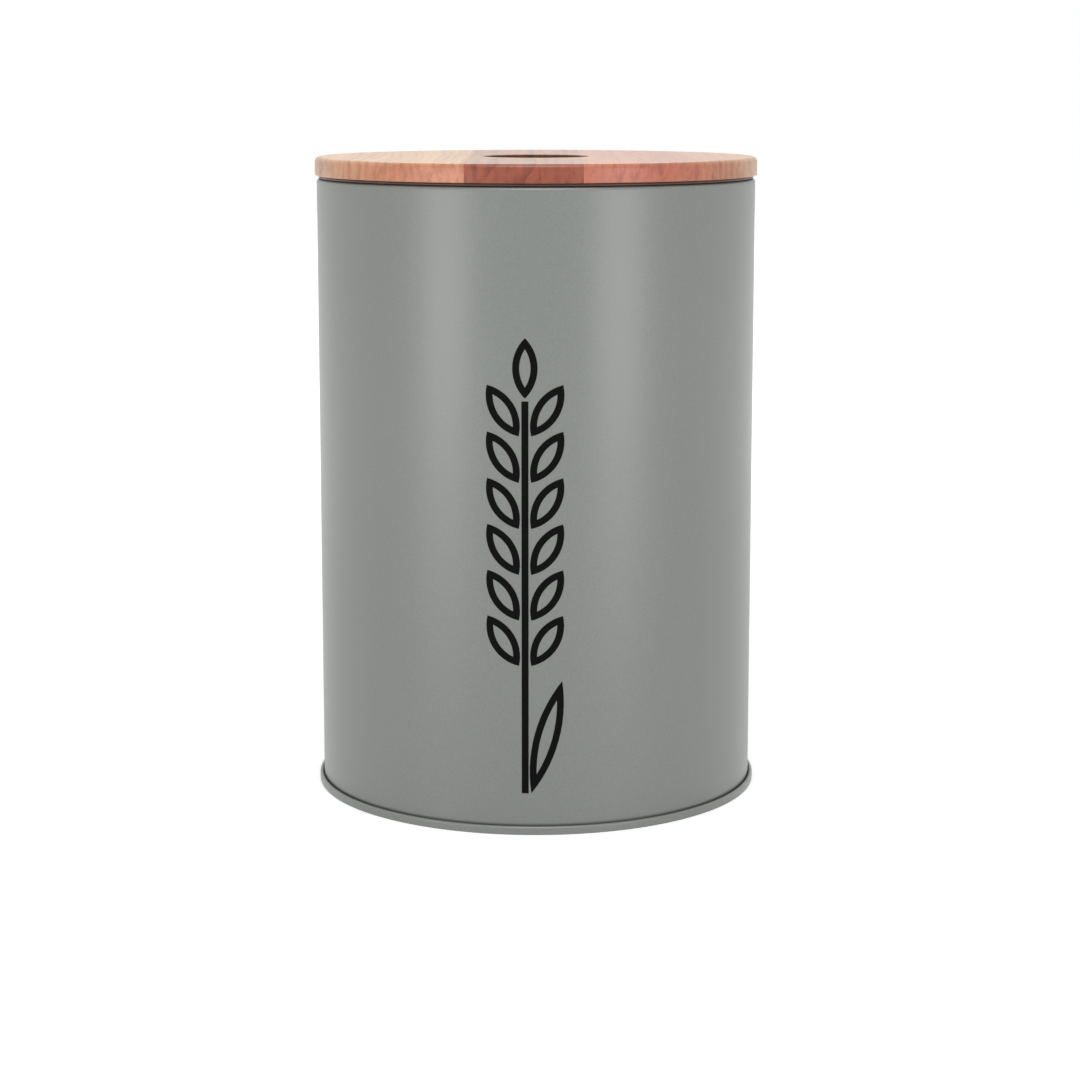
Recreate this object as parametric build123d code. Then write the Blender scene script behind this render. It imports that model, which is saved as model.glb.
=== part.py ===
from build123d import *
from math import cos, degrees, radians, sin, tan
import os

# Rice bucket: a sheet-steel can with a rolled rim, a base held by a double
# seam, and a turned wooden lid glued up from staves, with a silicone seal.
# Millimetres, +Z up, the origin on the floor under the centre of the base.
# The front is towards -Y, and the lap of the can's side is at the back.

# Driving dimensions: the can
body_diameter = 240.0  # outside of the wall
body_height = 336.5  # floor to the crest of the rolled rim
body_sheet = 0.6
rim_roll_radius = 1.5  # to the middle of the sheet
rim_roll_turn = 225.0  # degrees that the rim rolls inwards
lap_width = 6.0  # overlap of the sheet's two ends
lap_clear = 4.0  # bare wall between the lap and the rim or the base seam

# Driving dimensions: the base
base_sheet = 0.6
seam_gap = 0.2  # between neighbouring layers of the double seam
seam_height = 4.5
panel_recess = 4.6  # floor to the underside of the base panel's rim
step_inset = 19.0  # from the seam in to the middle of the slope up to the panel's raised centre
step_rise = 2.0
step_slope = 30.0  # degrees

# Driving dimensions: the lid
lid_overhang = 1.0  # beyond the can's wall, all round
lid_thickness = 10.0
lid_top_chamfer = 1.6
plug_depth = 10.0  # the turned step that enters the mouth
plug_clearance = 1.3  # between the plug and the rolled rim, all round
plug_chamfer = 1.2
stave_count = 5  # the two outer ones are cut away in part by the round edge
stave_offset = -6.0  # middle of the centre stave, from the lid's axis along X

# Driving dimensions: the finger recess in the lid
recess_diameter = 58.0  # at the lid's top face
recess_depth = 10.0
recess_lip = 3.2  # wood left over the undercut
recess_undercut = 4.0  # how far the fingers hook under the lip
recess_top_chamfer = 1.0

# Driving dimensions: the seal, in a groove of the plug close under the board
groove_depth = 3.0
groove_height = 6.0
seal_clearance = 0.2  # between the seal and the wood
seal_rim_gap = 0.3  # between the seal and the rolled rim
flange_thickness = 1.3  # the layer that the board rests on the rim with
flange_inset = 1.0  # the can's wall in to the flange's edge
seal_lead = 1.8  # height of the slope that leads the seal into the mouth

# Small bends are drawn with corners of about these turns, in degrees
round_corner_turn = 45.0
tight_corner_turn = 90.0  # where a face's radius is no more than the sheet

# The can's radii, and the heights of the seam's U-turns and the rim's roll
body_radius = body_diameter / 2
wall_middle = body_radius - body_sheet / 2
mouth_radius = wall_middle - 2 * rim_roll_radius - body_sheet / 2
seam_pitch = (body_sheet + base_sheet) / 2 + seam_gap
body_turn_height = base_sheet + seam_gap + body_sheet / 2 + seam_pitch
cover_turn_height = seam_height - base_sheet / 2 - seam_pitch
hook_run = cover_turn_height - body_turn_height - seam_gap
roll_height = body_height - body_sheet / 2 - rim_roll_radius

# The lid's radii and heights
lid_radius = body_radius + lid_overhang
stave_width = 2 * lid_radius / (stave_count - 1)
lid_foot = body_height + seal_rim_gap + flange_thickness + seal_clearance
lid_top = lid_foot + lid_thickness
plug_radius = mouth_radius - plug_clearance
plug_foot = lid_foot - plug_depth
groove_radius = plug_radius - groove_depth
groove_foot = lid_foot - groove_height


def heading(angle):
    """Unit step in a section, at an angle in degrees from straight outwards."""
    return Vector(cos(radians(angle)), sin(radians(angle)))


def sheet_face(start, angle, moves, sheet, left):
    """Corners of one face of a bent sheet, a distance left of the sheet's middle."""
    point = Vector(*start) + heading(angle + 90) * left
    corners = [point]
    for move in moves:
        if isinstance(move, tuple):
            radius, turn = move
            face_radius = radius - left if turn > 0 else radius + left
            corner_turn = round_corner_turn if face_radius > sheet else tight_corner_turn
            count = max(1, round(abs(turn) / corner_turn))
            tangent = face_radius * tan(radians(abs(turn) / count / 2))
            for _ in range(count):
                point += heading(angle) * tangent
                corners.append(point)
                angle += turn / count
                point += heading(angle) * tangent
        else:
            point += heading(angle) * move
    return [*corners, point]


def bent_sheet(start, angle, sheet, moves):
    """Round shell of bent sheet, from moves along the middle of the sheet in its section.

    A move is the length of a straight run, or the (radius, degrees) of a bend.
    """
    one_face = sheet_face(start, angle, moves, sheet, sheet / 2)
    other_face = sheet_face(start, angle, moves, sheet, -sheet / 2)
    section = make_face(Polyline(*one_face, *reversed(other_face), close=True))
    return revolve(Plane.XZ * section, axis=Axis.Z)


def turned(corners):
    """Ring or disc turned from a section of (radius, height, chamfer) corners."""
    section = make_face(Polyline(*[(r, z) for r, z, _ in corners], close=True))
    for r, z, size in corners:
        if size:
            section = chamfer(section.vertices().sort_by_distance((r, z))[0], size)
    return revolve(Plane.XZ * section, axis=Axis.Z)


def make_side_lap():
    """Second layer where the ends of the can's sheet lap each other, rooted in the wall."""
    foot = seam_height + lap_clear
    top = roll_height - lap_clear
    face = body_radius + body_sheet
    section = Pos((wall_middle + face) / 2, (foot + top) / 2) * Rectangle(face - wall_middle, top - foot)
    turn = degrees(lap_width / body_radius)
    lap = revolve(Plane.XZ * section, axis=Axis.Z, revolution_arc=turn)
    return Rot(0, 0, 90 - turn / 2) * lap


def make_body_shell():
    """Can wall: the hook inside the base seam, a U-turn, the straight wall and the rolled rim."""
    wall = bent_sheet(
        start=(wall_middle + 2 * seam_pitch, body_turn_height + hook_run),
        angle=-90,
        sheet=body_sheet,
        moves=[
            hook_run,
            (seam_pitch, -180),
            roll_height - body_turn_height,
            (rim_roll_radius, rim_roll_turn),
        ],
    )
    return wall + make_side_lap()


def make_base_plate():
    """Base: raised panel, chuck wall, flat crest, seam wall, U-turn and cover hook."""
    fold = base_sheet / 2  # a bend with a sharp inside
    panel_height = panel_recess + base_sheet / 2
    crest_height = base_sheet / 2
    chuck_wall = wall_middle - seam_pitch
    seam_wall = wall_middle + 3 * seam_pitch
    step_radius = chuck_wall - step_inset
    rise, reach = sin(radians(step_slope)), cos(radians(step_slope))
    slope_run = (step_rise - 2 * fold * (1 - reach)) / rise
    step_half = fold * rise + slope_run * reach / 2
    return bent_sheet(
        start=(0, panel_height + step_rise),
        angle=0,
        sheet=base_sheet,
        moves=[
            step_radius - step_half,
            (fold, -step_slope),
            slope_run,
            (fold, step_slope),
            step_inset - step_half - fold,
            (fold, -90),
            panel_height - crest_height - 2 * fold,
            (fold, 90),
            seam_wall - chuck_wall - 2 * fold,
            (fold, 90),
            cover_turn_height - crest_height - fold,
            (seam_pitch, 180),
            hook_run,
        ],
    )


def make_lid():
    """The turned lid in one piece: board, undercut finger recess, plug and seal groove."""
    recess_radius = recess_diameter / 2
    undercut_radius = recess_radius + recess_undercut
    recess_floor = lid_top - recess_depth
    lip_foot = lid_top - recess_lip
    return turned(
        [
            (0, recess_floor, 0),
            (undercut_radius, recess_floor, 0),
            (undercut_radius, lip_foot, 0),
            (recess_radius, lip_foot, 0),
            (recess_radius, lid_top, recess_top_chamfer),
            (lid_radius, lid_top, lid_top_chamfer),
            (lid_radius, lid_foot, 0),
            (groove_radius, lid_foot, 0),
            (groove_radius, groove_foot, 0),
            (plug_radius, groove_foot, 0),
            (plug_radius, plug_foot, plug_chamfer),
            (0, plug_foot, 0),
        ]
    )


def make_lid_staves():
    """The lid's staves from left to right, parted at the glue lines, which run front to back."""
    lid = make_lid()
    upright = (Align.CENTER, Align.CENTER, Align.MIN)
    blank = Box(stave_width, 2 * lid_radius, lid_top - plug_foot, align=upright)
    staves = []
    for number in range(stave_count):
        middle = stave_offset + (number - (stave_count - 1) / 2) * stave_width
        staves.append(lid & Pos(middle, 0, plug_foot) * blank)
    return staves


def make_lid_seal():
    """Silicone ring: a root in the plug's groove, a lip in the mouth and a flange that lies on the rim."""
    root_radius = groove_radius + seal_clearance
    face_radius = plug_radius - seal_clearance
    lip_radius = mouth_radius - seal_rim_gap
    flange_radius = body_radius - flange_inset
    foot = groove_foot + seal_clearance
    flange_foot = body_height + seal_rim_gap
    top = flange_foot + flange_thickness
    return turned(
        [
            (root_radius, foot, 0),
            (face_radius, foot, 0),
            (lip_radius, foot + seal_lead, 0),
            (lip_radius, flange_foot, 0),
            (flange_radius, flange_foot, 0),
            (flange_radius, top, 0),
            (root_radius, top, 0),
        ]
    )


pieces = {
    "body_shell": make_body_shell(),
    "base_plate": make_base_plate(),
    "lid_seal": make_lid_seal(),
}
for number, stave in enumerate(make_lid_staves(), start=1):
    pieces[f"lid_stave_{number}"] = stave

os.makedirs("parts", exist_ok=True)
for name, piece in pieces.items():
    export_step(piece, f"parts/{name}.step")
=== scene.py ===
# %% [markdown]
# # A rice bucket: a sheet-steel can with a glued wooden lid
#
# The bucket is a straight can of powder-coated sheet steel. Its rim is rolled inwards, its base is locked
# on by a double seam, and its flat lid is glued up from five wooden staves, with a finger recess in the
# middle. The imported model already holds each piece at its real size, so this lesson only dresses it: every
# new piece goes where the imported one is, with round bends and arrises instead of drawn corners, and with
# the finish of the real surface.

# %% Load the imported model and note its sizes
from math import acos, ceil, copysign, cos, degrees, pi, radians, sin, sqrt

import bmesh
import bpy
from mathutils import Matrix, Vector


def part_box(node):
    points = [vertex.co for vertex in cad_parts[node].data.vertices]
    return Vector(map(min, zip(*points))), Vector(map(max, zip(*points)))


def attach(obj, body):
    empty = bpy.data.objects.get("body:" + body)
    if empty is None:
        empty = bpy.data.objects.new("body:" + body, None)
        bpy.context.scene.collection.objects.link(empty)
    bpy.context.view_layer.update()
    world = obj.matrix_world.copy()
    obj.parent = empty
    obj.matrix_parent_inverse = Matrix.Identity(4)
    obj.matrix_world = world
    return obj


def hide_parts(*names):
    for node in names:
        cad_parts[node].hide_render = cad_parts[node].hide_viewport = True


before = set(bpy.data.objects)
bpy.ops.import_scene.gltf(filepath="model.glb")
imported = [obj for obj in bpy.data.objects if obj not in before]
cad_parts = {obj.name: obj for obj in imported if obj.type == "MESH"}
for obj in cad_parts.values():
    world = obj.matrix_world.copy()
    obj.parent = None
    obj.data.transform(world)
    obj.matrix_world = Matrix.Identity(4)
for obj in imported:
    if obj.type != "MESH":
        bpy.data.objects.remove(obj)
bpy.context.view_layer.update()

mm = 0.001
seam_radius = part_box("base_plate")[1].x
rim_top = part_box("body_shell")[1].z
plug_foot, lid_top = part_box("lid_stave_3")[0].z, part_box("lid_stave_3")[1].z
lid_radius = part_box("lid_stave_3")[1].y
print("packed nodes:", ", ".join(sorted(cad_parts)))
sizes = {"seam radius": seam_radius, "rim height": rim_top, "lid top": lid_top, "lid radius": lid_radius}
print(", ".join(f"{name} {size / mm:.1f} mm" for name, size in sizes.items()))

# %% [markdown]
# ## A pen for bent sheet
#
# A can maker bends flat sheet along lines, so a sheet's section is a row of straight runs and bends. It
# could be drawn by hand with a curve, but a small pen keeps every run and radius a real size. The pen
# starts from one vertex. A run extrudes that vertex, and a bend spins it about the bend's centre. The
# section lies in the XZ plane.

# %% The pen
bend_step = radians(12)


def draw_section(bm, start, heading, moves, least_steps=3):
    """Draw a wire section. A number is a straight run, a pair is a bend's radius and its turn in degrees."""
    tip = bm.verts.new((start[0], 0, start[1]))
    angle = radians(heading)
    for move in moves:
        if isinstance(move, tuple):
            radius, turn = move[0], radians(move[1])
            side = angle + copysign(pi / 2, turn)
            centre = tip.co + Vector((cos(side), 0, sin(side))) * radius
            steps = max(least_steps, ceil(abs(turn) / bend_step))
            if radius > 0:
                made = bmesh.ops.spin(bm, geom=[tip], cent=centre, axis=(0, -1, 0), angle=turn, steps=steps)
                tip = made["geom_last"][0]
            angle += turn
        else:
            tip = bmesh.ops.extrude_vert_indiv(bm, verts=[tip])["verts"][0]
            bmesh.ops.translate(bm, verts=[tip], vec=Vector((cos(angle), 0, sin(angle))) * move)


print(f"the pen draws a bend in steps of {degrees(bend_step):.0f} degrees or less")

# %% [markdown]
# ## Turning a section into a round piece
#
# A lathe's cut, a rolled can and a spun base are all round about Z, so one full spin makes them from a
# section. Smooth shading leans each normal towards its neighbours, which would make a long flat look bent
# beside a small round. A bevelled edge or a Weighted Normal modifier would help too, but holding loops
# close to both ends of every long run are simplest here: they keep the lean inside a quarter of a
# millimetre.

# %% Hold and spin
turn_steps = 240
hold = 0.25 * mm
long_run = 6 * hold
weld = 0.001 * mm


def hold_runs(bm):
    """Split every long edge of a section near both its ends."""
    for edge in bm.edges[:]:
        length = edge.calc_length()
        if length > long_run:
            near_end, far_end = edge.verts
            _, near_hold = bmesh.utils.edge_split(edge, near_end, hold / length)
            rest = next(e for e in near_hold.link_edges if far_end in e.verts)
            bmesh.utils.edge_split(rest, far_end, hold / (length - hold))


def spin_round(bm):
    """Spin a wire section once round Z, and close the seam and any poles."""
    hold_runs(bm)
    section = bm.verts[:] + bm.edges[:]
    bmesh.ops.spin(
        bm, geom=section, cent=(0, 0, 0), axis=(0, 0, 1), angle=2 * pi, steps=turn_steps, use_merge=True
    )
    bmesh.ops.remove_doubles(bm, verts=bm.verts, dist=weld)
    bmesh.ops.recalc_face_normals(bm, faces=bm.faces)


print(f"a full turn has {turn_steps} steps, and runs over {long_run / mm:.1f} mm are held")

# %% [markdown]
# ## From bmesh to piece
#
# A bmesh is only a workbench. To show, it becomes the mesh of an object, and the object rides on a body of
# the imported model, so that it moves when the lid lifts. It may stand for an imported node, which is then
# hidden. Sheet metal is drawn as a surface along the sheet's middle, and a Solidify modifier gives it the
# same thickness everywhere, bends included.

# %% Finish a piece
crease_angle = radians(32)


def finish_piece(bm, name, body, stands_for=()):
    """Turn a bmesh into a named piece that rides on a body, smooth but for its creases."""
    for face in bm.faces:
        face.smooth = True
    for edge in bm.edges:
        edge.smooth = edge.calc_face_angle(0) < crease_angle
    mesh = bpy.data.meshes.new(name)
    bm.to_mesh(mesh)
    bm.free()
    piece = bpy.data.objects.new(name, mesh)
    bpy.context.scene.collection.objects.link(piece)
    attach(piece, body)
    if stands_for:
        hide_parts(*stands_for)
    print(f"{name}: {len(mesh.vertices)} vertices, {len(mesh.polygons)} faces")
    return piece


def give_thickness(piece, thickness):
    """Sheet of even thickness, half of it on each side of the drawn surface."""
    solidify = piece.modifiers.new("sheet", "SOLIDIFY")
    solidify.thickness = thickness
    solidify.offset = 0
    solidify.use_even_offset = True


print(f"edges that turn by {degrees(crease_angle):.0f} degrees or more stay crisp")

# %% [markdown]
# ## The can's wall
#
# The wall is one rolled sheet. At its foot it turns up into a hook inside the seam, and at its top it rolls
# inwards to a bead that is safe to touch. It could be a cylinder with a ring on top, but then the bead
# would be a separate lump. Drawn as one section, the wall flows into the bead as the real sheet does.

# %% Wall with its hook and rolled rim
sheet = 0.6 * mm
seam_gap = 0.2 * mm
seam_height = 4.5 * mm
layer_pitch = sheet + seam_gap
can_radius = seam_radius - 3 * layer_pitch
wall_middle = can_radius - sheet / 2
body_turn = sheet + seam_gap + sheet / 2 + layer_pitch
cover_turn = seam_height - sheet / 2 - layer_pitch
hook_run = cover_turn - body_turn - seam_gap
roll_radius = 1.5 * mm
roll_turn = 225
roll_height = rim_top - sheet / 2 - roll_radius

wall = bmesh.new()
draw_section(
    wall,
    start=(wall_middle + 2 * layer_pitch, body_turn + hook_run),
    heading=-90,
    moves=[hook_run, (layer_pitch, -180), roll_height - body_turn, (roll_radius, roll_turn)],
)
spin_round(wall)
can_wall = finish_piece(wall, "can_wall", "bucket", ["body_shell"])
give_thickness(can_wall, sheet)

# %% [markdown]
# ## The side lap
#
# The rolled sheet's two ends lap each other at the back and are welded there. The upper layer shows as a
# low flat step from seam to rim. A flat block pressed on the wall would stand off at its middle or its
# sides, so the strip's end face is spun a short way round the can instead, which follows the wall exactly.
# A bevel rounds its edges as the coat of powder does.

# %% Lap strip at the back
lap_width = 6 * mm
lap_clear = 4 * mm
lap_depth = 1.5 * sheet
lap_foot = seam_height + lap_clear
lap_top = roll_height - lap_clear
lap_turn = lap_width / can_radius
lap_steps = 6
lap_round, lap_segments = 0.25 * mm, 3

lap = bmesh.new()
bmesh.ops.create_grid(lap, x_segments=1, y_segments=1, size=0.5)
stand_up = Matrix.Rotation(pi / 2, 4, "X")
lap_size = Matrix.Diagonal((lap_depth, 1, lap_top - lap_foot, 1))
lap_place = Matrix.Translation((wall_middle + lap_depth / 2, 0, (lap_foot + lap_top) / 2))
to_back = Matrix.Rotation(pi / 2 - lap_turn / 2, 4, "Z")
bmesh.ops.transform(lap, matrix=to_back @ lap_place @ lap_size @ stand_up, verts=lap.verts)
lap_end = lap.faces[:]
bmesh.ops.spin(lap, geom=lap_end, cent=(0, 0, 0), axis=(0, 0, 1), angle=lap_turn, steps=lap_steps)
bmesh.ops.remove_doubles(lap, verts=lap.verts, dist=weld)
bmesh.ops.holes_fill(lap, edges=lap.edges, sides=4)
bmesh.ops.recalc_face_normals(lap, faces=lap.faces)
lap_edges = [edge for edge in lap.edges if edge.calc_face_angle(0) > pi / 4]
bmesh.ops.bevel(
    lap, geom=lap_edges, offset=lap_round, affect="EDGES", segments=lap_segments, profile=0.5, material=-1,
    clamp_overlap=True,
)
side_lap = finish_piece(lap, "side_lap", "bucket")

# %% [markdown]
# ## The base and its double seam
#
# The base is pressed from sheet: a panel with a raised middle, a wall down to the crest that the bucket
# stands on, and an outer wall that curls over the can's hook. Five layers lock in the seam. A plain ring
# would look alike from afar, but drawing the base with the same pen and the same pitch makes its hook sit
# in the wall's hook, with a hair of room all the way.

# %% Base panel, crest and cover hook
panel_recess = 4.6 * mm
step_inset = 19 * mm
step_rise = 2 * mm
step_slope = radians(30)
press_bend = 1.5 * mm
corner_bend = 1 * mm
fold = 0.45 * mm

chuck_wall = wall_middle - layer_pitch
seam_wall = wall_middle + 3 * layer_pitch
panel_height = panel_recess + sheet / 2
crest_height = sheet / 2
slope_run = (step_rise - 2 * press_bend * (1 - cos(step_slope))) / sin(step_slope)
step_half = press_bend * sin(step_slope) + slope_run * cos(step_slope) / 2

base = bmesh.new()
draw_section(
    base,
    start=(0, panel_height + step_rise),
    heading=0,
    moves=[
        chuck_wall - step_inset - step_half,
        (press_bend, -degrees(step_slope)),
        slope_run,
        (press_bend, degrees(step_slope)),
        step_inset - step_half - corner_bend,
        (corner_bend, -90),
        panel_height - crest_height - corner_bend - fold,
        (fold, 90),
        seam_wall - chuck_wall - 2 * fold,
        (fold, 90),
        cover_turn - crest_height - fold,
        (layer_pitch, 180),
        hook_run,
    ],
)
spin_round(base)
base_pan = finish_piece(base, "base_pan", "bucket", ["base_plate"])
give_thickness(base_pan, sheet)

# %% [markdown]
# ## A section with rounded corners
#
# Wood and silicone have corners that sandpaper or a mould has rounded, each by its own radius. The section
# is drawn as one face, so that the vertex bevel knows which side is inside, and then only its outline is
# kept. An edge on the axis goes too, because a spin would turn it into a loose line.

# %% Rounded section
corner_segments = 6


def rounded_section(corners):
    """A bmesh with the outline of a section, from (radius, height, round) corners."""
    bm = bmesh.new()
    verts = [bm.verts.new((r, 0, z)) for r, z, _ in corners]
    bm.faces.new(verts)
    for vert, (_, _, size) in zip(verts, corners):
        if size:
            bmesh.ops.bevel(
                bm, geom=[vert], offset=size, affect="VERTICES", segments=corner_segments, profile=0.5,
                material=-1,
            )
    bmesh.ops.delete(bm, geom=bm.faces[:], context="FACES_ONLY")
    on_axis = [e for e in bm.edges if max(v.co.x for v in e.verts) < weld]
    bmesh.ops.delete(bm, geom=on_axis, context="EDGES")
    return bm


print(f"a rounded corner has {corner_segments} segments")

# %% [markdown]
# ## The turned lid
#
# A lid maker glues staves edge to edge, then turns the board round on a lathe: a flat board with a soft
# arris, a finger recess that is undercut so that fingers hook under its lip, and a plug with a groove for
# the seal. Five staves could each be modelled alone, but turned in one piece they share one profile, and
# the arris runs unbroken across the joints, as it does on the real lid.

# %% Turned lid
lid_thickness = 10 * mm
plug_clearance = 1.3 * mm
groove_depth, groove_height = 3 * mm, 6 * mm
recess_radius, recess_depth = 29 * mm, 10 * mm
recess_lip, recess_undercut = 3.2 * mm, 4 * mm
recess_arris, lip_round, undercut_round, recess_floor_round = 0.4 * mm, 2.4 * mm, 1 * mm, 2.5 * mm
top_arris, foot_arris, plug_arris = 2.6 * mm, 0.6 * mm, 1.4 * mm
groove_round, groove_arris = 0.2 * mm, 0.3 * mm

lid_foot = lid_top - lid_thickness
mouth_radius = wall_middle - 2 * roll_radius - sheet / 2
plug_radius = mouth_radius - plug_clearance
groove_radius = plug_radius - groove_depth
groove_foot = lid_foot - groove_height
undercut_radius = recess_radius + recess_undercut
recess_floor = lid_top - recess_depth
lip_foot = lid_top - recess_lip

turned_lid = rounded_section(
    [
        (0, recess_floor, 0),
        (undercut_radius, recess_floor, recess_floor_round),
        (undercut_radius, lip_foot, undercut_round),
        (recess_radius, lip_foot, lip_round),
        (recess_radius, lid_top, recess_arris),
        (lid_radius, lid_top, top_arris),
        (lid_radius, lid_foot, foot_arris),
        (groove_radius, lid_foot, groove_round),
        (groove_radius, groove_foot, groove_round),
        (plug_radius, groove_foot, groove_arris),
        (plug_radius, plug_foot, plug_arris),
        (0, plug_foot, 0),
    ]
)
spin_round(turned_lid)
print(f"the turned lid has {len(turned_lid.faces)} faces")

# %% [markdown]
# ## Parting the lid into staves
#
# The staves differ in colour and grain, so each is a piece of its own. A copy of the turned lid is cut by
# the planes of the stave's two glue lines, and each cut is closed with a face. The planes come from the
# packed staves' boxes. A boolean with a block would give the same slice, more slowly.

# %% Part the lid at its glue lines
stave_names = [f"lid_stave_{number}" for number in range(1, 6)]


def part_stave(node):
    """The slice of the turned lid between a stave's two glue lines."""
    low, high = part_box(node)
    stave = turned_lid.copy()
    for plane, facing in ((low.x, -1), (high.x, 1)):
        if abs(plane) < lid_radius - hold:
            everything = stave.verts[:] + stave.edges[:] + stave.faces[:]
            cut = bmesh.ops.bisect_plane(
                stave, geom=everything, plane_co=(plane, 0, 0), plane_no=(facing, 0, 0), dist=weld,
                clear_outer=True,
            )
            rim = [part for part in cut["geom_cut"] if isinstance(part, bmesh.types.BMEdge)]
            bmesh.ops.holes_fill(stave, edges=rim, sides=0)
    bmesh.ops.recalc_face_normals(stave, faces=stave.faces)
    return finish_piece(stave, f"{node}_wood", "lid", [node])


staves = {node: part_stave(node) for node in stave_names}
turned_lid.free()

# %% [markdown]
# ## The seal
#
# A silicone ring sits in the plug's groove. Its lip slants out towards the rolled rim, and its flange lies
# between rim and board, in the dark line that shows under the lid. That line is the gap's real shade and
# painted
# shade both: the flange's dark colour stands in for shade. A torus would be quicker, but it has neither lip
# nor flange. The ring is turned from a section like the lid, with soft corners, because moulded silicone has
# no sharp edges.

# %% Silicone ring
seal_clearance, seal_rim_gap = 0.2 * mm, 0.3 * mm
seal_lead = 1.8 * mm
flange_inset = 1 * mm
root_round, edge_round = 0.4 * mm, 0.5 * mm
seal_root = groove_radius + seal_clearance
seal_face = plug_radius - seal_clearance
seal_lip = mouth_radius - seal_rim_gap
seal_foot = groove_foot + seal_clearance
seal_top = lid_foot - seal_clearance
flange_foot = rim_top + seal_rim_gap
flange_edge = can_radius - flange_inset

ring = rounded_section(
    [
        (seal_root, seal_foot, root_round),
        (seal_face, seal_foot, root_round),
        (seal_lip, seal_foot + seal_lead, edge_round),
        (seal_lip, flange_foot, root_round),
        (flange_edge, flange_foot, edge_round),
        (flange_edge, seal_top, edge_round),
        (seal_root, seal_top, root_round),
    ]
)
spin_round(ring)
seal_ring = finish_piece(ring, "seal_ring", "lid", ["lid_seal"])

# %% [markdown]
# ## Strokes for the print
#
# The front carries a black screen print: an ear of rice in even strokes. Each grain is a lens of two arcs,
# and a second lens, drawn about the same centres, is its inside. Bridging the two outlines leaves a stroke
# of even width. A bevelled curve would do it too, but its stroke would be round, and ink is flat.

# %% Lens strokes
stroke = 3.6 * mm
arc_steps = 14


def draw_lens(bm, arc_radius, arc_offset, foot):
    """The outline of a lens of two arcs, each with its centre off the upright axis."""
    half_turn = degrees(acos(arc_offset / arc_radius))
    arc = (arc_radius, 2 * half_turn)
    draw_section(bm, (0, foot), 90 - half_turn, [arc, (0, 180 - 2 * half_turn), arc], arc_steps)


def add_lens(target, length, width, lean, root):
    """A stroke round a lens that starts at root and leans from upright by an angle in degrees."""
    outer_radius = (length**2 + width**2) / (4 * width)
    arc_offset = outer_radius - width / 2
    inner_radius = outer_radius - stroke
    tip_depth = length / 2 - sqrt(inner_radius**2 - arc_offset**2)
    lens = bmesh.new()
    draw_lens(lens, outer_radius, arc_offset, 0)
    draw_lens(lens, inner_radius, arc_offset, tip_depth)
    bmesh.ops.remove_doubles(lens, verts=lens.verts, dist=weld)
    bmesh.ops.bridge_loops(lens, edges=lens.edges[:])
    place = Matrix.Translation((root[0], 0, root[1])) @ Matrix.Rotation(radians(lean), 4, "Y")
    bmesh.ops.transform(lens, matrix=place, verts=lens.verts)
    flat = bpy.data.meshes.new("lens")
    lens.to_mesh(flat)
    lens.free()
    target.from_mesh(flat)
    bpy.data.meshes.remove(flat)


print(f"strokes are {stroke / mm:.1f} mm wide")

# %% [markdown]
# ## The ear of rice, drawn flat
#
# Grains lean out from both sides of a stem, one stands on its top, and a long leaf grows from its foot. The
# print is drawn flat first, as it would be on the printer's screen, because lengths and angles are easy to
# set there.

# %% Flat print
print_foot = 22 * mm
stem_height, stem_gap = 206 * mm, 1.4 * mm
grain_length, grain_width, grain_lean = 31 * mm, 13 * mm, 32
first_grain, grain_pitch, grain_rows = 68 * mm, 24 * mm, 6
leaf_length, leaf_width, leaf_lean = 62 * mm, 13 * mm, 15

ear = bmesh.new()
bmesh.ops.create_grid(ear, x_segments=2, y_segments=1, size=0.5)
stem_size = Matrix.Diagonal((stroke, 1, stem_height, 1))
stem_place = Matrix.Translation((0, 0, print_foot + stem_height / 2))
bmesh.ops.transform(ear, matrix=stem_place @ stem_size @ stand_up, verts=ear.verts)

side_root = stroke / 2 + stem_gap
for side in (-1, 1):
    for row in range(grain_rows):
        root = (side * side_root, print_foot + first_grain + row * grain_pitch)
        add_lens(ear, grain_length, grain_width, side * grain_lean, root)
add_lens(ear, leaf_length, leaf_width, leaf_lean, (side_root, print_foot))
add_lens(ear, grain_length, grain_width, 0, (0, print_foot + stem_height + stem_gap))
print(f"flat print: {len(ear.faces)} faces")

# %% [markdown]
# ## Ink on a round can
#
# Ink is a thin film with an edge of its own, so the flat print is extruded by the film's thickness. Then it
# is wrapped round the can: a length along X becomes the same length along the wall. A Shrinkwrap modifier
# would press it on too, but it would narrow the strokes towards the sides.

# %% Ink film and wrap
print_middle = -5.5 * mm
ink_film = 0.06 * mm
coat_of_ink = bmesh.ops.extrude_face_region(ear, geom=ear.faces[:], use_keep_orig=True)
ink_top = [part for part in coat_of_ink["geom"] if isinstance(part, bmesh.types.BMVert)]
bmesh.ops.translate(ear, verts=ink_top, vec=(0, -ink_film, 0))
for vert in ear.verts:
    reach = can_radius - vert.co.y
    around = (vert.co.x + print_middle) / can_radius
    vert.co = Vector((reach * sin(around), -reach * cos(around), vert.co.z))
bmesh.ops.recalc_face_normals(ear, faces=ear.faces)
print("open edges in the print:", sum(not edge.is_manifold for edge in ear.edges))
front_print = finish_piece(ear, "front_print", "bucket")

# %% [markdown]
# ## Node helpers
#
# Materials here are node trees, made in code so that every value has a name. Placing and linking each node
# by hand takes many lines. These helpers keep the trees readable: one makes any node from its settings and
# inputs, and the others give the result of a sum, a vector sum, a smooth step and a mix of colours.

# %% Node helpers
mix_first, mix_second, mix_result = 6, 7, 2  # a Mix node's sockets for colours


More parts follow.
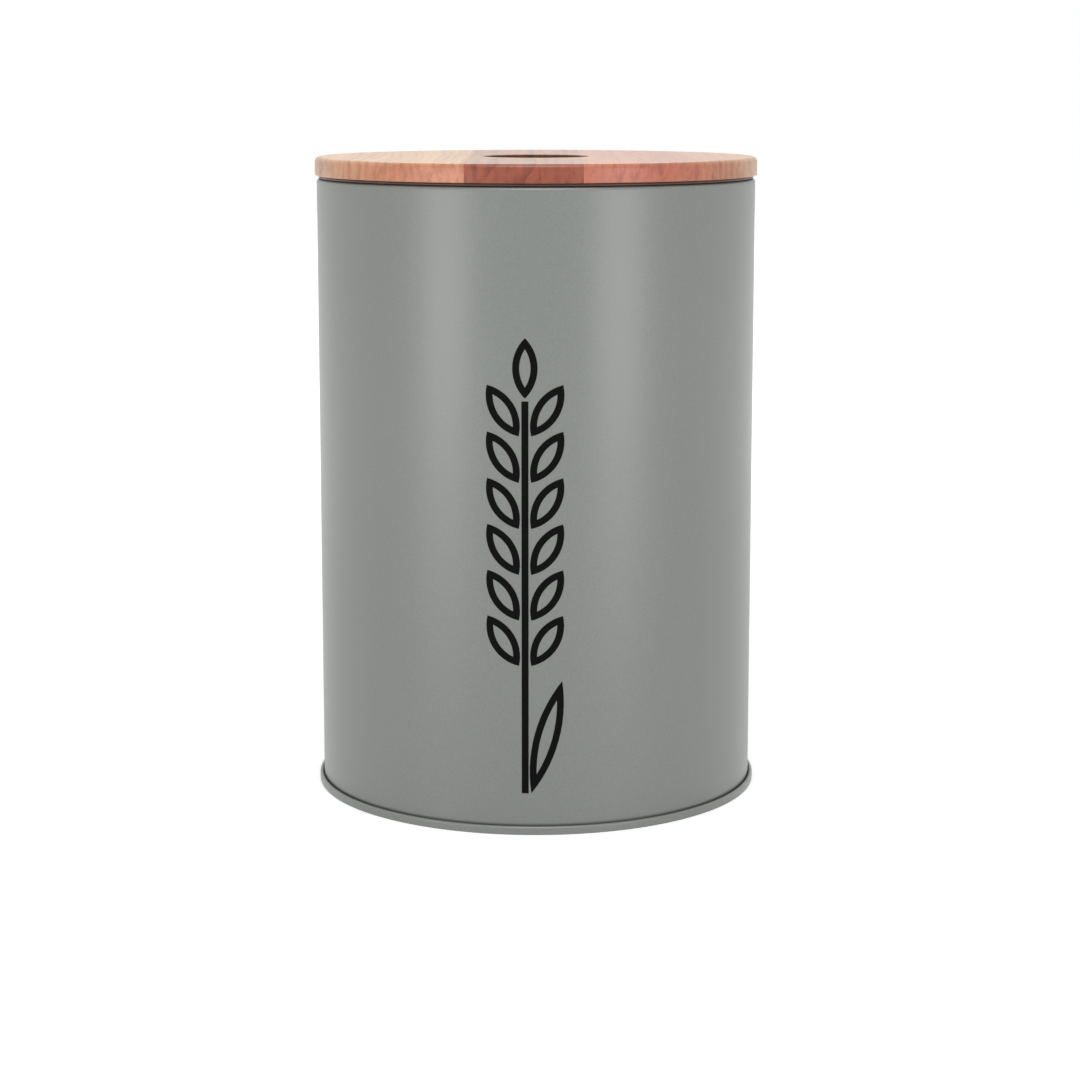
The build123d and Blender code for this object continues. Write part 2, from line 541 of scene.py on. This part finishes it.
def add_node(tree, kind, inputs=None, **settings):
    """A node of a kind, with its settings, and with inputs that are plain values or other nodes' outputs."""
    node = tree.nodes.new(kind)
    for name, value in settings.items():
        setattr(node, name, value)
    for name, value in (inputs or {}).items():
        if isinstance(value, bpy.types.NodeSocket):
            tree.links.new(value, node.inputs[name])
        else:
            node.inputs[name].default_value = value
    return node


def calc(tree, operation, *values):
    """The result of a Math node on numbers or sockets."""
    return add_node(tree, "ShaderNodeMath", dict(enumerate(values)), operation=operation).outputs[0]


def vector_calc(tree, operation, *values):
    """The result of a Vector Math node, which is a number for LENGTH and a vector otherwise."""
    outputs = add_node(tree, "ShaderNodeVectorMath", dict(enumerate(values)), operation=operation).outputs
    return outputs["Value" if operation == "LENGTH" else "Vector"]


def ramp(tree, value, low, high, to_low=0.0, to_high=1.0):
    """A smooth step of a value from one range to another."""
    inputs = {"Value": value, "From Min": low, "From Max": high, "To Min": to_low, "To Max": to_high}
    return add_node(tree, "ShaderNodeMapRange", inputs, interpolation_type="SMOOTHSTEP").outputs["Result"]


def mix_colours(tree, factor, first, second, blend="MIX"):
    """The result of a Mix node on two colours."""
    inputs = {"Factor": factor, mix_first: first, mix_second: second}
    mix = add_node(tree, "ShaderNodeMix", inputs, data_type="RGBA", blend_type=blend)
    return mix.outputs[mix_result]


print("node helpers are ready")

# %% [markdown]
# ## Places and noises
#
# A pattern has to stay on its piece when the lid lifts, so all of them read Object coordinates. Most real
# surfaces vary by chance, and a Noise texture gives that. Stretched along one axis it makes fibres, and
# evenly scaled it makes specks and clouds. A Bump node turns the same noise into a relief.

# %% Material helpers
relief = 0.1 * mm


def new_material(name, **values):
    """A material with a Principled BSDF, and plain values on the shader's own sockets."""
    material = bpy.data.materials.new(name)
    material.use_nodes = True
    shader = material.node_tree.nodes["Principled BSDF"]
    for socket, value in values.items():
        shader.inputs[socket.replace("_", " ")].default_value = value
    return material, material.node_tree, shader


def object_place(tree):
    """The place of a point in the piece's own frame."""
    return add_node(tree, "ShaderNodeTexCoord").outputs["Object"]


def from_axis(tree, place):
    """The distance of a place from the bucket's upright axis."""
    return vector_calc(tree, "LENGTH", vector_calc(tree, "MULTIPLY", place, (1, 1, 0)))


def stretched_noise(tree, place, stretch, **inputs):
    """Noise on coordinates that are stretched by a different scale along each axis."""
    spread = add_node(tree, "ShaderNodeMapping", {"Vector": place, "Scale": stretch}).outputs[0]
    inputs = {"Vector": spread, "Scale": 1.0, **{key.title(): value for key, value in inputs.items()}}
    return add_node(tree, "ShaderNodeTexNoise", inputs).outputs["Fac"]


def add_bump(tree, shader, height, strength):
    """A fine relief on a shader, from a height that varies over the surface."""
    bump = add_node(tree, "ShaderNodeBump", {"Strength": strength, "Distance": relief, "Height": height})
    tree.links.new(bump.outputs["Normal"], shader.inputs["Normal"])


print(f"a bump of full strength is a relief of {relief / mm:.1f} mm")

# %% [markdown]
# ## Powder coat
#
# Powder coat is plastic powder melted on the steel. It is a soft grey-green, half matt, and it keeps a fine
# grain that breaks up its highlights. A plain colour would look like plastic. Two noises make it a coat: a
# speck-sized one for the grain, which also lifts the surface, and a slow one for the slight unevenness of a
# large coated sheet.

# %% Grey powder coat
most_noise, wide_noise = (0.3, 0.7), (0.2, 0.8)  # ranges that hold most of a noise's values
grain_scale, cloud_scale = 1500, 9
grain_share, cloud_share = 0.8, 0.4
coat_dark, coat_light = (0.172, 0.186, 0.171, 1), (0.213, 0.228, 0.21, 1)
coat_roughness, coat_bump = (0.3, 0.42), 0.25

coat, tree, shader = new_material("grey_powder_coat", Specular_IOR_Level=1.0)
place = object_place(tree)
grain = stretched_noise(tree, place, (grain_scale,) * 3, detail=2.0, roughness=0.6)
cloud = stretched_noise(tree, place, (cloud_scale,) * 3, detail=2.0)
grain_tone = ramp(tree, grain, *most_noise, 0, grain_share)
tone = calc(tree, "ADD", grain_tone, calc(tree, "MULTIPLY", cloud, cloud_share))
coat_before_crease_shade = mix_colours(tree, tone, coat_dark, coat_light)
tree.links.new(ramp(tree, grain, *wide_noise, *coat_roughness), shader.inputs["Roughness"])
add_bump(tree, shader, grain, coat_bump)
for piece in (can_wall, base_pan, side_lap):
    piece.data.materials.append(coat)
print("powder coat on", can_wall.name, base_pan.name, side_lap.name)

# %% [markdown]
# ## Painted shade in the crease
#
# The coat is darkened in the crease over the base seam as painted shade, where shade falls. An ambient
# occlusion node could find the crease, but the crease is a known ring round the can, so the distance to that
# ring is enough: the coat darkens as it comes near.

# %% Painted shade over the base seam
crease_radius = can_radius + seam_gap
# painted shade: the reach and the darkest colour of the shade painted along the crease
crease_shade_edge, crease_shade_heart = 1.5 * mm, 0.45 * mm
most_crease_shade = 0.75
crease_shade_colour = (0.05, 0.052, 0.048, 1)

height = add_node(tree, "ShaderNodeSeparateXYZ", {0: place}).outputs["Z"]
outwards = calc(tree, "SUBTRACT", from_axis(tree, place), crease_radius)
upwards = calc(tree, "SUBTRACT", height, seam_height)
from_crease = add_node(tree, "ShaderNodeCombineXYZ", {"X": outwards, "Y": upwards}).outputs[0]
# painted shade: the coat darkens towards the crease over the base seam
crease_shade = ramp(tree, vector_calc(tree, "LENGTH", from_crease), crease_shade_edge, crease_shade_heart, 0, most_crease_shade)
tree.links.new(mix_colours(tree, crease_shade, coat_before_crease_shade, crease_shade_colour), shader.inputs["Base Color"])
# the reach of the painted shade in the crease
print(f"dust lies within {crease_shade_edge / mm:.1f} mm of the crease")

# %% [markdown]
# ## Growth rings
#
# A picture of planks would slide over the lid's edge and lose the end grain. Wood is solid, so its pattern
# is too: growth rings are shells round a pith that runs along the stave, and any cut through them shows the
# right figure. In each ring the wood deepens slowly and turns pale at once, and no two years are alike. A
# slow noise sways the rings, and a small one makes them wobble.

# %% Growth rings
sway_stretch, sway_reach = (22, 4, 22), 30 * mm
wobble_stretch, wobble_reach = (140, 9, 140), 3 * mm
late_rise, late_end = (0.15, 0.85), (1.0, 0.88)
poorest_year = 0.25


def grow_rings(group, place, moved, given):
    """The share of late wood at a place, from its distance to a pith along Y."""
    sway = stretched_noise(group, moved, sway_stretch, detail=2.0)
    wobble = stretched_noise(group, moved, wobble_stretch, detail=2.0)
    from_pith = vector_calc(group, "SUBTRACT", place, given["Pith"])
    distance = vector_calc(group, "LENGTH", vector_calc(group, "MULTIPLY", from_pith, (1, 0, 1)))
    bent = calc(group, "ADD", distance, calc(group, "MULTIPLY", sway, sway_reach))
    bent = calc(group, "ADD", bent, calc(group, "MULTIPLY", wobble, wobble_reach))
    rings = calc(group, "DIVIDE", bent, given["Ring Width"])
    season = calc(group, "FRACT", rings)
    late = calc(group, "MULTIPLY", ramp(group, season, *late_rise), ramp(group, season, *late_end))
    year = calc(group, "ADD", calc(group, "FLOOR", rings), given["Seed"])
    luck = add_node(group, "ShaderNodeTexWhiteNoise", {"W": year}, noise_dimensions="1D").outputs["Value"]
    return calc(group, "MULTIPLY", late, ramp(group, luck, 0.0, 1.0, poorest_year, 1.0))


print(f"rings sway by up to {sway_reach / mm:.0f} mm and wobble by up to {wobble_reach / mm:.0f} mm")

# %% [markdown]
# ## Painted shade in the recess, and end grain
#
# The inside of the finger recess is darkened as painted shade, where shade falls into it, and end grain
# drinks more oil, so a face that looks along the stave is deeper than its top. Both could be painted by hand
# on a UV map. Here they are masks: one from the recess's own radius and heights, the other from the
# direction that the surface faces.

# %% Masks on the lid
# painted shade: the edge over which the darkened inside of the finger recess fades in
recess_shade_fade = 0.5 * mm
end_facing = (0.25, 0.9)


def inside_recess(group, place):
    """1 on the walls and the floor of the finger recess, and 0 on the rest of the lid."""
    height = add_node(group, "ShaderNodeSeparateXYZ", {0: place}).outputs["Z"]
    mouth = undercut_radius + recess_shade_fade
    near = ramp(group, from_axis(group, place), mouth + recess_shade_fade, mouth)
    below_top = ramp(group, height, lid_top, lid_top - recess_shade_fade)
    above_plug = ramp(group, height, lid_foot - recess_shade_fade, lid_foot)
    return calc(group, "MULTIPLY", calc(group, "MULTIPLY", near, below_top), above_plug)


def facing_end(group, normal, inside):
    """1 where the surface looks along the staves, outside the recess."""
    along = add_node(group, "ShaderNodeSeparateXYZ", {0: normal}).outputs["Y"]
    facing = ramp(group, calc(group, "ABSOLUTE", along), *end_facing)
    return calc(group, "MULTIPLY", facing, calc(group, "SUBTRACT", 1, inside))


# the reach over which the recess's painted shade fades
print(f"the recess's touched wood fades within {recess_shade_fade / mm:.1f} mm")

# %% [markdown]
# ## Streaks, fibres, rays, pores and flecks
#
# Between the rings, wood shows finer marks, all long in the direction of the stave: broad streaks, hair-fine
# fibres, rays, dark pores, and on the end grain short flecks. Each is a noise with its own stretch, counted
# in waves a metre across, along and up. Each adds its share to how deep the colour is.

# %% Fine figure
streak_stretch, streak_range, streak_depth = (75, 3, 75), (0.35, 0.75), (0.0, 0.55)
fibre_stretch, fibre_depth = (1100, 22, 1100), (-0.08, 0.08)
ray_stretch, ray_depth = (330, 3, 50), (-0.2, 0.2)
pore_stretch, pore_range, pore_depth = (1500, 70, 1500), (0.66, 0.74), 0.2
fleck_stretch, fleck_range, fleck_depth = (260, 8, 110), (0.5, 0.7), (-0.1, 0.6)


def fine_figure(group, moved, end_grain):
    """The shares of depth that the fine marks add, and the fibres and pores themselves."""
    streak = stretched_noise(group, moved, streak_stretch, detail=3.0, roughness=0.55)
    fibre = stretched_noise(group, moved, fibre_stretch, detail=2.0, roughness=0.6)
    pore = ramp(group, stretched_noise(group, moved, pore_stretch, detail=1.0), *pore_range)
    ray = stretched_noise(group, moved, ray_stretch, detail=2.0, roughness=0.6)
    fleck = stretched_noise(group, moved, fleck_stretch, detail=3.0, roughness=0.6)
    shares = [
        calc(group, "MULTIPLY", ramp(group, fleck, *fleck_range, *fleck_depth), end_grain),
        ramp(group, streak, *streak_range, *streak_depth),
        ramp(group, fibre, *most_noise, *fibre_depth),
        ramp(group, ray, *most_noise, *ray_depth),
        calc(group, "MULTIPLY", pore, pore_depth),
    ]
    return shares, fibre, pore


print("fine figure has five kinds of marks")

# %% [markdown]
# ## The wood as a node group
#
# Every stave has its own pith, seed and tints, but all share one way to make wood. Five copies of the nodes
# would be hard to keep alike, so the wood is a node group that is built once and placed in each stave's
# material with that stave's values.

# %% Wood group
wood_inputs = {
    "Pith": "Vector",
    "Ring Width": "Float",
    "Seed": "Float",
    "Pale": "Color",
    "Deep": "Color",
    "End Grain": "Color",
    "Figure": "Float",
}
wood_outputs = {"Color": "Color", "Roughness": "Float", "Height": "Float"}
# painted shade: a tint that darkens the inside of the finger recess
recess_shade_tint = (0.5, 0.5, 0.47, 1)
oil_range, oil_roughness = (0.25, 0.75), (0.29, 0.33)


def make_wood_group():
    """Wood round a pith along Y, as a colour, a roughness and a height."""
    group = bpy.data.node_groups.new("stave_wood", "ShaderNodeTree")
    for name, kind in wood_inputs.items():
        group.interface.new_socket(name, in_out="INPUT", socket_type=f"NodeSocket{kind}")
    for name, kind in wood_outputs.items():
        group.interface.new_socket(name, in_out="OUTPUT", socket_type=f"NodeSocket{kind}")
    given = group.nodes.new("NodeGroupInput").outputs
    result = group.nodes.new("NodeGroupOutput").inputs

    coordinates = add_node(group, "ShaderNodeTexCoord").outputs
    place = coordinates["Object"]
    shift = add_node(group, "ShaderNodeCombineXYZ", {axis: given["Seed"] for axis in "XYZ"}).outputs[0]
    moved = vector_calc(group, "ADD", place, shift)
    inside = inside_recess(group, place)
    end_grain = facing_end(group, coordinates["Normal"], inside)
    shares, fibre, pore = fine_figure(group, moved, end_grain)

    depth = calc(group, "MULTIPLY", grow_rings(group, place, moved, given), given["Figure"])
    for share in shares:
        depth = calc(group, "ADD", depth, share)
    colour = mix_colours(group, depth, given["Pale"], given["Deep"])
    colour = mix_colours(group, end_grain, colour, given["End Grain"], "MULTIPLY")
    # painted shade: the inside of the recess is darkened by its tint
    colour = mix_colours(group, inside, colour, recess_shade_tint, "MULTIPLY")
    group.links.new(colour, result["Color"])
    group.links.new(ramp(group, fibre, *oil_range, *oil_roughness), result["Roughness"])
    group.links.new(calc(group, "SUBTRACT", fibre, pore), result["Height"])
    return group


wood_group = make_wood_group()
print("wood group sockets:", [item.name for item in wood_group.interface.items_tree])

# %% [markdown]
# ## Five staves, five woods
#
# The staves come from different boards. The middle one is a deep red-brown, cut so that its rings slant
# across its end. The others are lighter, from tan to salmon. A pith far to one side gives upright, straight
# figure, and one close by gives slanting rings. Oiled wood has a soft gloss and hardly any relief.

# %% Stave woods
wood_bump = 0.02
light_end, dark_end = (1, 0.68, 0.82, 1), (0.8, 0.42, 0.43, 1)
stave_looks = {
    "lid_stave_1": {
        "Pith": (-0.19, 0, 0.35), "Ring Width": 4 * mm, "Seed": 1.7, "Figure": 0.6,
        "Pale": (0.74, 0.415, 0.225, 1), "Deep": (0.47, 0.215, 0.1, 1), "End Grain": light_end,
    },
    "lid_stave_2": {
        "Pith": (-0.3, 0, 0.31), "Ring Width": 4.5 * mm, "Seed": 4.1, "Figure": 0.5,
        "Pale": (0.71, 0.425, 0.21, 1), "Deep": (0.5, 0.25, 0.115, 1), "End Grain": light_end,
    },
    "lid_stave_3": {
        "Pith": (-0.07, 0, 0.39), "Ring Width": 7 * mm, "Seed": 7.3, "Figure": 0.6,
        "Pale": (0.46, 0.22, 0.115, 1), "Deep": (0.245, 0.1, 0.05, 1), "End Grain": dark_end,
    },
    "lid_stave_4": {
        "Pith": (0.17, 0, 0.27), "Ring Width": 5 * mm, "Seed": 9.6, "Figure": 0.5,
        "Pale": (0.59, 0.275, 0.142, 1), "Deep": (0.41, 0.16, 0.082, 1), "End Grain": light_end,
    },
    "lid_stave_5": {
        "Pith": (0.3, 0, 0.37), "Ring Width": 4 * mm, "Seed": 12.9, "Figure": 0.45,
        "Pale": (0.62, 0.322, 0.162, 1), "Deep": (0.425, 0.182, 0.089, 1), "End Grain": light_end,
    },
}
for node, look in stave_looks.items():
    wood, tree, shader = new_material(f"{node}_oiled_wood", Specular_IOR_Level=0.5)
    grain = add_node(tree, "ShaderNodeGroup", look, node_tree=wood_group).outputs
    tree.links.new(grain["Color"], shader.inputs["Base Color"])
    tree.links.new(grain["Roughness"], shader.inputs["Roughness"])
    add_bump(tree, shader, grain["Height"], wood_bump)
    staves[node].data.materials.append(wood)
    print(node, "has its own wood")

# %% [markdown]
# ## Silicone
#
# The seal is smoke-brown silicone, kept dark as painted shade, so that its flange gives the dark line under
# the lid. A plain glossy brown would look like paint. Light goes a little way into silicone, so it has some
# subsurface scattering, and a slow noise makes it slightly cloudy in colour and gloss, as moulded rings are.

# %% Smoke-brown silicone, dark as painted shade
smoke_scale = 60
# painted shade in part: the seal is coloured dark so that its flange gives the dark line under the lid
seal_shade_dark, seal_shade_light = (0.1, 0.052, 0.042, 1), (0.14, 0.075, 0.06, 1)
smoke_roughness = (0.35, 0.5)
silicone, tree, shader = new_material("silicone_with_painted_shade", Subsurface_Weight=0.15, Specular_IOR_Level=0.4)
cloud = stretched_noise(tree, object_place(tree), (smoke_scale,) * 3, detail=3.0)
tree.links.new(mix_colours(tree, cloud, seal_shade_dark, seal_shade_light), shader.inputs["Base Color"])
tree.links.new(ramp(tree, cloud, *wide_noise, *smoke_roughness), shader.inputs["Roughness"])
seal_ring.data.materials.append(silicone)
print("silicone on", seal_ring.name)

# %% [markdown]
# ## Ink
#
# Screen ink is nearly black and almost without gloss. The print could be a mask in the coat's own material,
# but as a film with its own finish it keeps a clean edge from close by. It lies on the grain of the powder
# coat, so a noise of the same scale makes it a little uneven.

# %% Black ink
ink_dark, ink_light = (0.002, 0.002, 0.002, 1), (0.006, 0.006, 0.006, 1)
ink_roughness = (0.45, 0.6)
ink, tree, shader = new_material("black_ink", Specular_IOR_Level=0.05)
grain = stretched_noise(tree, object_place(tree), (grain_scale,) * 3, detail=2.0)
tree.links.new(mix_colours(tree, grain, ink_dark, ink_light), shader.inputs["Base Color"])
tree.links.new(ramp(tree, grain, *wide_noise, *ink_roughness), shader.inputs["Roughness"])
front_print.data.materials.append(ink)
print("ink on", front_print.name)

# %% [markdown]
# ## Floor
#
# The bucket stands on a white studio floor. A photographer bends paper up behind the object, but that hides
# it from behind. Here the floor is a wide round disc, and the world beyond it is white too, so no horizon
# shows from any side.

# %% Floor
floor_radius, floor_steps = 6.0, 128
disc = bmesh.new()
bmesh.ops.create_circle(disc, cap_ends=True, radius=floor_radius, segments=floor_steps)
floor_mesh = bpy.data.meshes.new("floor")
disc.to_mesh(floor_mesh)
disc.free()
floor = bpy.data.objects.new("floor", floor_mesh)
bpy.context.scene.collection.objects.link(floor)
print(f"floor {2 * floor_radius:.0f} m across")

# %% [markdown]
# ## Floor paper
#
# The floor takes real light and keeps the bucket's shadow. More lamps could bring it to white, but they
# would burn out the bucket. So a glow that only the camera and reflections see lifts it to white. It grows
# further out, where the lamps don't reach. Other rays don't see it, so it doesn't brighten the colours of
# the bucket.

# %% White paper
white = (1, 1, 1, 1)
paper_white = (0.85, 0.85, 0.85, 1)
near_glow, near_edge = 0.45, 0.5
far_glow, far_edge = 0.9, 1.6


def seen_directly(tree):
    """1 for rays that the camera, mirrors and glass see by, and 0 for rays that gather diffuse light."""
    path = add_node(tree, "ShaderNodeLightPath").outputs
    mirrored = calc(tree, "MAXIMUM", path["Is Glossy Ray"], path["Is Transmission Ray"])
    return calc(tree, "MAXIMUM", path["Is Camera Ray"], mirrored)


paper, tree, shader = new_material("white_paper", Roughness=0.9, Specular_IOR_Level=0.0)
shader.inputs["Base Color"].default_value = paper_white
shader.inputs["Emission Color"].default_value = white
away = vector_calc(tree, "LENGTH", object_place(tree))
glow = ramp(tree, away, near_edge, far_edge, near_glow, far_glow)
tree.links.new(calc(tree, "MULTIPLY", seen_directly(tree), glow), shader.inputs["Emission Strength"])
floor.data.materials.append(paper)
print(f"floor glows for the camera by {near_glow} near the bucket and {far_glow} far out")

# %% [markdown]
# ## Soft boxes
#
# Two soft boxes stand low at the front left and front right, below the level of the lid. On a round can
# each gives one broad upright highlight, with a darker band outside it. A box over the camera and one
# behind the bucket light the lid and the line along its arris, and the back one shows the far side too.
# Point lamps would give hard spots and shadows instead.

# %% Soft boxes
side_bearings = {"left_box": -46, "right_box": 42}
side_distance, side_height = 1.6, 0.16
side_size, side_power = (0.62, 0.36), 2.7
front_place, front_size, front_power = (0, -0.85, 1.5), (0.9, 0.6), 9.5
back_place, back_size, back_power = (0, 1.3, 1.5), (1.2, 0.6), 7.5


def add_box_light(name, place, aim, size, power):
    """A rectangular soft box at a place, turned to face a point."""
    lamp = bpy.data.lights.new(name, "AREA")
    lamp.shape = "RECTANGLE"
    lamp.size, lamp.size_y = size
    lamp.energy = power
    light = bpy.data.objects.new(name, lamp)
    light.location = place
    light.rotation_euler = (Vector(aim) - Vector(place)).to_track_quat("-Z", "Y").to_euler()
    bpy.context.scene.collection.objects.link(light)


can_middle = (0, 0, rim_top / 2)
lid_middle = (0, 0, lid_top)
for name, bearing in side_bearings.items():
    angle = radians(bearing)
    place = (side_distance * sin(angle), -side_distance * cos(angle), side_height)
    add_box_light(name, place, can_middle, side_size, side_power)
add_box_light("front_box", front_place, lid_middle, front_size, front_power)
add_box_light("back_box", back_place, lid_middle, back_size, back_power)

# %% [markdown]
# ## World
#
# A white studio throws soft light back from all sides. Walls could be modelled for that, but they would
# stand in the way of other views. The world gives the fill instead, at less than half of white, so that the
# soft boxes still model the round can. The camera and reflections see it as plain white.

# %% White world
fill_light = 0.44
world = bpy.data.worlds.new("studio")
world.use_nodes = True
tree = world.node_tree
background = tree.nodes["Background"]
background.inputs["Color"].default_value = white
tree.links.new(calc(tree, "MAXIMUM", seen_directly(tree), fill_light), background.inputs["Strength"])
bpy.context.scene.world = world
bpy.context.scene.view_settings.view_transform = "Standard"
print(f"the world fills shadows with {fill_light} of white")

# %% [markdown]
# ## Camera
#
# The photograph is taken from a little above the lid with a long lens. The place, the tilt and the lens
# could be found by trial, but they come from fitting the can's edges and ellipses. The shift moves the
# picture up or down in its frame, without tilting the camera.

# %% Camera
sensor_width, camera_lens, camera_shift = 36, 84.68, -0.06
camera_place = (2.2 * mm, -1.4034, 0.3924)
camera_dip = 8.961
camera_data = bpy.data.cameras.new("camera")
camera_data.sensor_width = sensor_width
camera_data.lens = camera_lens
camera_data.shift_y = camera_shift
camera = bpy.data.objects.new("camera", camera_data)
camera.location = camera_place
camera.rotation_euler = (radians(90 - camera_dip), 0, 0)
bpy.context.scene.collection.objects.link(camera)
bpy.context.scene.camera = camera
print(f"camera with a {camera_lens:.0f} mm lens, looking down by {camera_dip:.0f} degrees")
